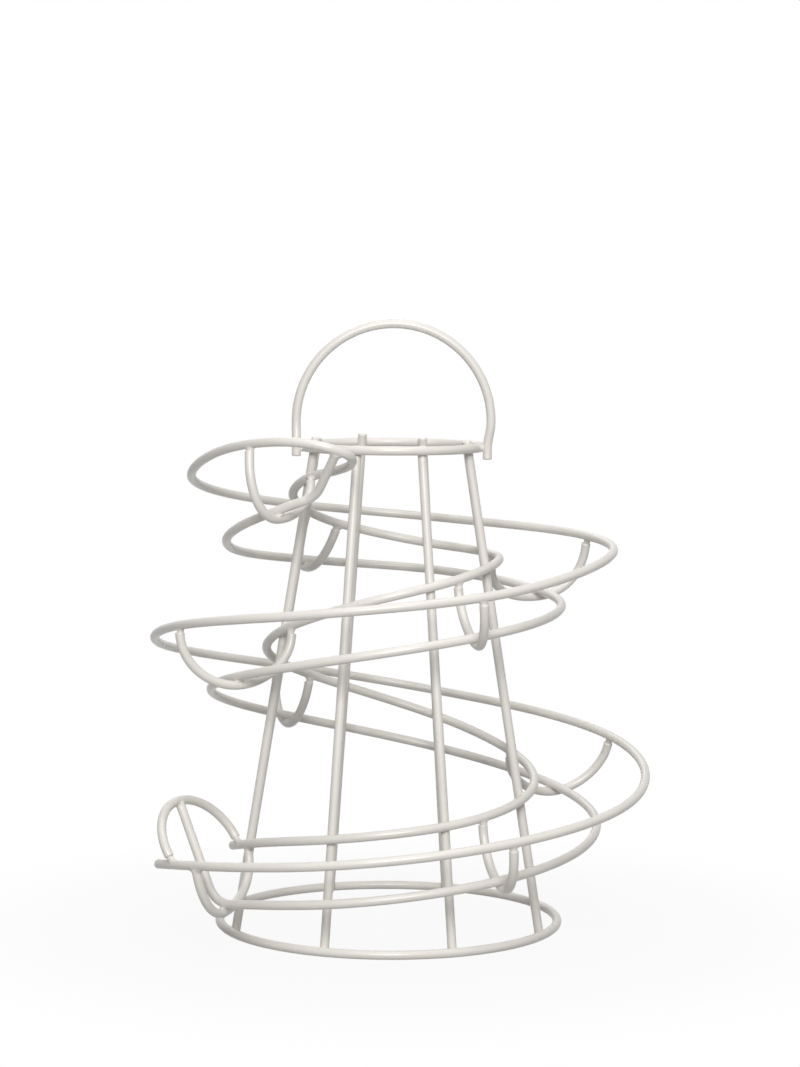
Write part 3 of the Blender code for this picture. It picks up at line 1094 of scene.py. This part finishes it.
def arch_points(first: Array, top: Array, last: Array, top_way: Array, squareness: float,
                steps: int = 160) -> Array:
    """An arch or a hanging U that passes its top along a way.

    Each half is a superellipse, foot + (1 - cos(t)^(2/q)) side + sin(t)^(2/q) rise, where side runs
    along the top's way and rise up to the top.

    Args:
        first: One foot.
        top: The top of the arch, or the lowest point of the U.
        last: The other foot.
        top_way: The direction in which the line passes its top.
        squareness: The superellipse's power: 2 is round, and more is squarer.
        steps: Points in the whole arch.

    Returns:
        The arch's points from one foot to the other.
    """
    chord = unit(last - first)
    t = np.linspace(0.0, np.pi / 2, steps // 2 + 1)[:, None]
    across, along = 1 - np.cos(t) ** (2 / squareness), np.sin(t) ** (2 / squareness)
    halves = []
    for foot in (first, last):
        side = top_way * ((top - foot) @ chord) / (top_way @ chord)
        halves.append(foot + across * side + along * (top - foot - side))
    return np.concatenate([halves[0], halves[1][-2::-1]])


@dataclass
class EndStop(SubAssembly):
    """The arch across the run's lower end, which leans away down the run.

    Attributes:
        run: The run that it closes.
        angles: Where its outer and inner feet stand on their rails.
        height: From the rails' middles to its top.
        lean: How far it leans from upright, in degrees.
        squareness: The power of its superellipse.
        seeds: The seeds of the welds of its feet, and under its top.
    """

    run: EggRun
    angles: tuple[float, float] = (682.1, 701.5)
    height: float = 31.5 * MM
    lean: float = 32.6
    squareness: float = 2.02
    seeds: tuple[int, int, int] = (100, 101, 103)

    def rails(self) -> tuple[Array, Array]:
        """The points of the outer and inner rails that it stands on."""
        return self.run.outer(self.angles[0]), self.run.inner(self.angles[1])

    def rail_ways(self) -> tuple[Array, Array]:
        """The directions of the two rails at these points."""
        run, (outer, inner) = self.run, self.angles
        return run.way(run.outer, outer), run.way(run.inner, inner)

    def stand_way(self) -> Array:
        """The direction in which it stands.

        Returns:
            cos(lean) up + sin(lean) down the run, square to the line between its rails.
        """
        outer, inner = self.rails()
        lean = np.radians(self.lean)
        return np.cos(lean) * UP + np.sin(lean) * unit(np.cross(outer - inner, UP))

    def top(self) -> Array:
        """The top of the arch."""
        outer, inner = self.rails()
        return (outer + inner) / 2 + self.height * self.stand_way()

    def line(self) -> WireLine:
        """The arch from foot to foot.

        Returns:
            Its middle line, with each foot a little off its rail's surface.
        """
        stand, stand_off = self.stand_way(), Fillet.NECK.value.stand_off
        feet = [place + stand * self.stock.setback(stand, way, stand_off)
                for place, way in zip(self.rails(), self.rail_ways())]
        chord = unit(feet[1] - feet[0])
        points = arch_points(feet[0], self.top(), feet[1], chord, self.squareness)
        return WireLine(points, flat=np.cross(chord, stand)).redivided(self.stock.step)

    def build(self, bottom_end_way: Array) -> None:
        """Make the arch, its two feet's welds, and the weld of the bottom rail under its top.

        Args:
            bottom_end_way: The direction in which the bottom rail stands away from it.
        """
        self.make_wire("end_stop", self.line())
        rails, stand = self.rails(), self.stand_way()
        welds = [EndWeld(Fillet.NECK, seed, place, way, stand)
                 for seed, place, way in zip(self.seeds, rails, self.rail_ways())]
        welds.append(EndWeld(self.run.bottom_fillet, self.seeds[2], self.top(),
                             unit(rails[0] - rails[1]), bottom_end_way))
        self.make_welds("end_stop", welds)


class Join(Enum):
    """How a rib's inner end is welded to the inner rail."""

    BELOW = "its end stands against the rail from below"
    OUTSIDE = "its end stands against the rail from below and outside"


@dataclass(frozen=True)
class RibPlace:
    """Where one rib hangs, in angles along the run.

    Attributes:
        outer: Where its outer end is.
        lowest: Where it passes under the bottom rail.
        inner: Where its inner end is.
        squareness: The power of its superellipse.
        join: How its inner end is welded.
        fillet: The weld of its outer end.
    """

    outer: float
    lowest: float
    inner: float
    squareness: float
    join: Join = Join.BELOW
    fillet: Fillet = Fillet.NECK


@dataclass
class Rib(SubAssembly):
    """One U-shaped rib that hangs from the outer and inner rails and carries the bottom rail.

    Attributes:
        run: The run that it carries.
        number: Its number, counted down the run from 1.
        place: Where it hangs.
        press: How far it is pressed into the bottom rail.
        splay: How far an end that comes from outside leans outwards, as a share of its way down.
        seed: What its welds' seeds start from. Each rib takes three.
    """

    run: EggRun
    number: int
    place: RibPlace
    press: float = 0.35 * MM
    splay: float = 0.75
    seed: int = 200

    def __post_init__(self) -> None:
        """Find the three rails' places, the lowest point and the directions between them."""
        run, place = self.run, self.place
        self.outer, self.inner = run.outer(place.outer), run.inner(place.inner)
        self.under = run.bottom(place.lowest)
        self.ways = (run.way(run.outer, place.outer), run.way(run.bottom, place.lowest),
                     run.way(run.inner, place.inner))
        drop = (self.stock.diameter - self.press) / np.sqrt(1 - self.ways[1][2] ** 2)
        self.lowest = self.under - UP * drop
        chord, hang = unit(self.inner - self.outer), self.lowest - self.outer
        self.down = unit(hang - chord * (hang @ chord))
        self.level = unit(chord - UP * chord[2])

    def inner_way(self) -> Array:
        """The direction in which the inner end stands away from its rail.

        Returns:
            Straight down the rib, or down and outwards for an end that comes from outside.
        """
        if self.place.join is Join.BELOW:
            return self.down
        radial = self.inner - self.cone.axis
        return unit(self.down + self.splay * unit(radial - UP * radial[2]))

    def line(self) -> WireLine:
        """The U from foot to foot.

        Returns:
            Its middle line, which passes level under the bottom rail.
        """
        stock, way = self.stock, self.inner_way()
        offs = [fillet.value.stand_off for fillet in (self.place.fillet, Fillet.NECK)]
        first = self.outer + self.down * stock.setback(self.down, self.ways[0], offs[0])
        last = self.inner + way * stock.setback(way, self.ways[2], offs[1])
        points = arch_points(first, self.lowest, last, self.level, self.place.squareness)
        return WireLine(points, flat=unit(np.cross(self.level, self.down))).redivided(stock.step)

    def welds(self) -> list[EndWeld | CrossWeld]:
        """The rib's own welds.

        Returns:
            The welds at its outer end, at its inner end and under the bottom rail.
        """
        seed = self.seed + 3 * self.number
        over = unit(np.cross(self.ways[1], self.level))
        below = self.under - over * np.sign(over[2]) * (self.stock.diameter - self.press)
        crossing, ways = (below, self.under), (self.level, self.ways[1])
        return [EndWeld(self.place.fillet, seed, self.outer, self.ways[0], self.down),
                EndWeld(Fillet.NECK, seed + 1, self.inner, self.ways[2], self.inner_way()),
                CrossWeld(Fillet.NECK, seed + 2, crossing, ways)]

    def build(self) -> None:
        """Make the rib and its three welds."""
        self.make_wire(f"rib_{self.number}", self.line())
        self.make_welds(f"rib_{self.number}", self.welds())


@dataclass
class Ribs(SubAssembly):
    """The nine ribs down the run.

    Attributes:
        run: The run that they carry.
        places: Where each hangs.
    """

    run: EggRun
    places: tuple[RibPlace, ...] = (
        RibPlace(-46.5, -49.5, -36.5, 1.98, Join.OUTSIDE),
        RibPlace(65.5, 57.8, 58.4, 2.29),
        RibPlace(154.6, 149.9, 162.7, 2.25),
        RibPlace(246.1, 241.6, 233.7, 1.89),
        RibPlace(328.6, 324.2, 324.2, 1.94),
        RibPlace(419.7, 413.5, 410.4, 1.87),
        RibPlace(513.0, 505.5, 510.7, 1.86),
        RibPlace(603.4, 599.2, 592.5, 2.04),
        RibPlace(674.2, 676.8, 693.9, 2.07, fillet=Fillet.LUMPY),
    )

    def build(self) -> None:
        """Make each rib."""
        for number, place in enumerate(self.places, 1):
            Rib(self.cone, self.stock, self.finish, self.run, number, place).build()


# Studio.


def add_at(name: str, data: bpy.types.ID, place: Array,
           axes: tuple[Array, Array, Array]) -> bpy.types.Object:
    """Add a lamp or camera to the scene.

    Args:
        name: Its name.
        data: The lamp's or camera's own data.
        place: Where it is.
        axes: The directions of its own X, Y and Z.

    Returns:
        The new object.
    """
    thing = bpy.data.objects.new(name, data)
    turn = Matrix(np.stack(axes, axis=1).tolist()).to_4x4()
    thing.matrix_world = Matrix.Translation(place.tolist()) @ turn
    bpy.context.scene.collection.objects.link(thing)
    return thing


@dataclass(frozen=True)
class Lamp:
    """One soft square lamp.

    Attributes:
        name: What the lamp is called.
        place: Where it hangs.
        side: The length of its square.
        power: In watts.
        aim: The point that it shines at.
    """

    name: str
    place: tuple[float, float, float]
    side: float
    power: float
    aim: tuple[float, float, float] = (0.0, 0.0, 0.15)

    def hang(self) -> None:
        """Add the lamp, turned so that its own -Z points at its aim."""
        light = bpy.data.lights.new(self.name, "AREA")
        light.shape, light.size, light.energy = "SQUARE", self.side, self.power
        back = unit(np.array(self.place) - np.array(self.aim))
        # The small tilt gives a lamp that hangs straight over its aim a side too.
        side = unit(np.cross(UP + 0.001, back))
        add_at(self.name, light, np.array(self.place), (side, np.cross(back, side), back))


@dataclass
class Studio:
    """A pale floor, soft lamps, a plain world and the camera.

    Attributes:
        axis: A point of the rack's upright axis.
        camera_place: Where the camera is, from that point.
        pitch: How far it looks down, in radians.
        roll: How far it leans, in radians.
        lens: Its focal length in millimetres.
        sensor: Its sensor's width in millimetres.
        clip_start: The nearest that it sees.
        floor_side: The floor's length.
        floor_tones: The darkest and the lightest of the floor's greys.
        floor_cloud: The length of the slow changes between them.
        floor_white: The share of plain white that the camera sees in the floor under the rack.
        floor_fade: How far from the rack that share starts to grow, and where it is all white.
        world_strength: The world's light on the object.
    """

    axis: Array
    camera_place: tuple[float, float, float] = (4.93 * MM, -1564.96 * MM, 333.03 * MM)
    pitch: float = 0.0798
    roll: float = -0.006
    lens: float = 133.89
    sensor: float = 36.0
    clip_start: float = 0.05
    floor_side: float = 12.0
    floor_tones: tuple[float, float] = (0.36, 0.40)
    floor_cloud: float = 0.4
    floor_white: float = 0.93
    floor_fade: tuple[float, float] = (0.10, 0.30)
    world_strength: float = 0.06
    lamps: tuple[Lamp, ...] = (
        Lamp("lamp_overhead", (0.06, -0.25, 2.2), 1.4, 19.0, (0.0, 0.0, 0.1)),
        Lamp("lamp_front", (0.03, -1.7, 0.95), 0.8, 26.3),
        Lamp("lamp_right", (1.4, -0.6, 0.9), 0.9, 1.0),
        Lamp("lamp_back", (-0.3, 1.4, 1.1), 0.9, 3.0),
    )

    @staticmethod
    def seen_white(bench: Bench, share: Value | float) -> Value:
        """How much plain white a ray sees.

        Args:
            bench: Where the nodes go.
            share: What camera, glossy and transmitted rays see.

        Returns:
            The share for those rays, and none for the others.
        """
        path = bench.node("ShaderNodeLightPath")
        seen = Value(bench, path.outputs["Is Camera Ray"])
        for name in ("Is Glossy Ray", "Is Transmission Ray"):
            seen = seen.sum("MAXIMUM", seen, Value(bench, path.outputs[name]))
        return seen * share

    def floor_material(self) -> bpy.types.Material:
        """A pale floor that looks white and keeps a faint shadow.

        Returns:
            The new material, which turns whiter with the distance from the rack.
        """
        material = bpy.data.materials.new("studio_floor")
        material.cycles.emission_sampling = "NONE"
        bench = Bench(material)
        dark, pale = ((tone, tone, tone, 1.0) for tone in self.floor_tones)
        tone = bench.mix(bench.noise(self.floor_cloud, 2.0), dark, pale)
        reach = bench.node("ShaderNodeVectorMath", {"operation": "LENGTH"}, {0: bench.place()})
        near, far = self.floor_fade
        fade = bench.node("ShaderNodeMapRange", {"interpolation_type": "SMOOTHSTEP"}, {
            "Value": reach.outputs["Value"], "From Min": near, "From Max": far,
            "To Min": self.floor_white, "To Max": 1.0})
        white = self.seen_white(bench, Value(bench, fade.outputs["Result"]))
        matt = bench.node("ShaderNodeBsdfDiffuse", None, {"Color": tone})
        glow = bench.node("ShaderNodeEmission", None, {"Color": WHITE, "Strength": 1.0})
        both = bench.node("ShaderNodeMixShader", None, {
            0: white, 1: matt.outputs[0], 2: glow.outputs[0]})
        bench.node("ShaderNodeOutputMaterial", None, {"Surface": both.outputs[0]})
        return material

    def floor(self) -> None:
        """A flat square, side (u, v, 0) for u and v from -1/2 to 1/2."""
        steps = np.linspace(-0.5, 0.5, 3)
        u, v = np.meshgrid(steps, steps, indexing="ij")
        points = np.stack([u, v, 0 * u], axis=-1).reshape(-1, 3) * self.floor_side
        corners = [[0, 3, 4, 1], [1, 4, 5, 2], [3, 6, 7, 4], [4, 7, 8, 5]]
        mesh = bpy.data.meshes.new("studio_floor")
        mesh.from_pydata(points.tolist(), [], corners)
        mesh.materials.append(self.floor_material())
        thing = bpy.data.objects.new("studio_floor", mesh)
        bpy.context.scene.collection.objects.link(thing)

    def world(self) -> None:
        """A world that lights softly and looks white."""
        world = bpy.data.worlds.new("studio_world")
        bpy.context.scene.world = world
        bench = Bench(world)
        soft, white = (bench.node("ShaderNodeBackground", None, {"Color": WHITE, "Strength": power})
                       for power in (self.world_strength, 1.0))
        both = bench.node("ShaderNodeMixShader", None, {
            0: self.seen_white(bench, 1.0), 1: soft.outputs[0], 2: white.outputs[0]})
        bench.node("ShaderNodeOutputWorld", None, {"Surface": both.outputs[0]})

    def camera(self) -> None:
        """The camera, turned by its pitch and roll from looking along +Y."""
        data = bpy.data.cameras.new("camera")
        data.lens, data.sensor_width, data.sensor_fit = self.lens, self.sensor, "HORIZONTAL"
        data.clip_start = self.clip_start
        look = np.array([0.0, np.cos(self.pitch), -np.sin(self.pitch)])
        down = np.array([0.0, -np.sin(self.pitch), -np.cos(self.pitch)])
        right = np.array([1.0, 0.0, 0.0])
        image_right = np.cos(self.roll) * right + np.sin(self.roll) * down
        image_down = np.cos(self.roll) * down - np.sin(self.roll) * right
        place = self.axis + np.array(self.camera_place)
        bpy.context.scene.camera = add_at("camera", data, place, (image_right, -image_down, -look))

    def build(self) -> None:
        """Set up the whole studio."""
        bpy.context.scene.view_settings.view_transform = "Standard"
        self.camera()
        self.world()
        self.floor()
        for lamp in self.lamps:
            lamp.hang()
        log.info("studio: %d lamps", len(self.lamps))


def main() -> None:
    """Build the studio and every sub-assembly in order."""
    logging.basicConfig(level=logging.INFO, format="%(name)s %(message)s")
    shared = (Cone(), WireStock(), PowderCoat())
    Studio(shared[0].axis).build()
    rack = Rack(*shared)
    rack.build()
    CarryHandle(*shared).build()
    run = EggRun(*shared)
    stop = EndStop(*shared, run)
    stop.build(run.build(rack, stop.top()))
    Ribs(*shared, run).build()


if __name__ == "__main__":
    main()
